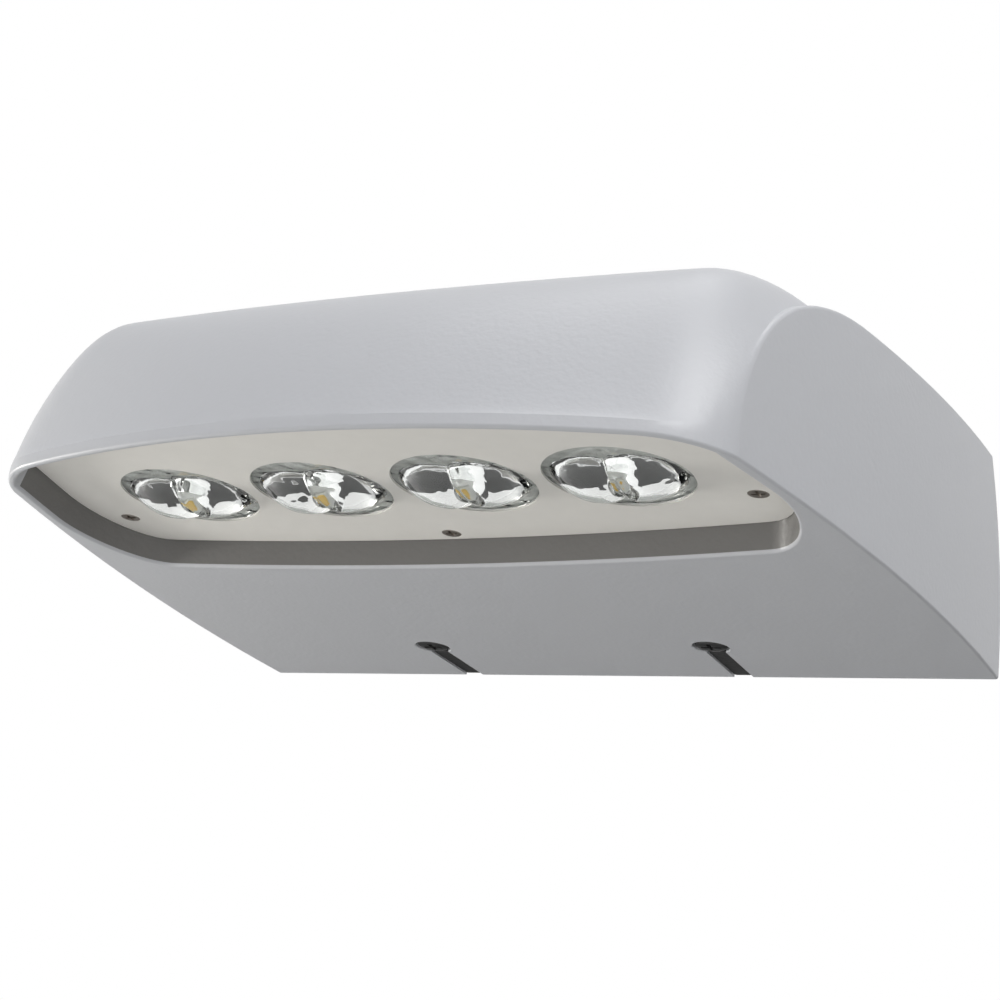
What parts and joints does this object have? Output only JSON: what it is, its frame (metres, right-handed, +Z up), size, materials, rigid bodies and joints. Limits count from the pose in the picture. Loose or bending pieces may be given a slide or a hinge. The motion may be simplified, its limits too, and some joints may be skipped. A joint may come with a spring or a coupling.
{
  "type": "led wall pack",
  "caption": "Cast wall lamp with a bowed nose, a recessed bay of double-lobed clear lenses in its base, and a steel wall plate behind.",
  "frame": {"origin": "on the wall, at the centre of the wall plate's screw holes and wire way", "axes": "+X along the wall, +Y into the wall, +Z up"},
  "size_m": [0.3054, 0.2422, 0.0871],
  "materials": {
    "housing_paint": "fine textured powder coat",
    "black_coat": "satin powder coat",
    "foam": "closed cell foam",
    "nylon": "moulded",
    "zinc_steel": "zinc plated",
    "black_steel": "black oxide",
    "optic_white": "smooth satin",
    "stainless": "turned",
    "silicone": "moulded",
    "clear_acrylic": "polished",
    "phosphor": "satin",
    "board_white": "solder mask",
    "pad_grey": "soft",
    "black_rubber": "moulded",
    "lead_red": "smooth insulation",
    "lead_black": "smooth insulation",
    "case_aluminium": "drawn",
    "potting": "cast resin",
    "lead_brown": "smooth insulation",
    "lead_blue": "smooth insulation",
    "green_steel": "green zinc plate"
  },
  "bodies": {
    "root": {"housing": "housing_paint", "wall_plate": "black_coat", "wall_gasket": "foam", "wire_bushing": "nylon", "flange_nuts": "zinc_steel", "securing_screws": "black_steel", "optic_plate": "optic_white", "optic_plate_screws": "stainless", "bay_gasket": "silicone", "lens_1": "clear_acrylic", "lens_2": "clear_acrylic", "lens_3": "clear_acrylic", "lens_4": "clear_acrylic", "led_1": "phosphor", "led_2": "phosphor", "led_3": "phosphor", "led_4": "phosphor", "led_board": "board_white", "board_screws": "stainless", "board_connector": "nylon", "thermal_pad": "pad_grey", "lead_grommet": "black_rubber", "led_lead_red": "lead_red", "led_lead_black": "lead_black", "driver_case": "case_aluminium", "driver_potting": "potting", "driver_screws": "zinc_steel", "terminal_block": "nylon", "terminal_screw": "zinc_steel", "supply_lead_live": "lead_brown", "supply_lead_neutral": "lead_blue", "ground_screw": "green_steel"}
  },
  "joints": []
}
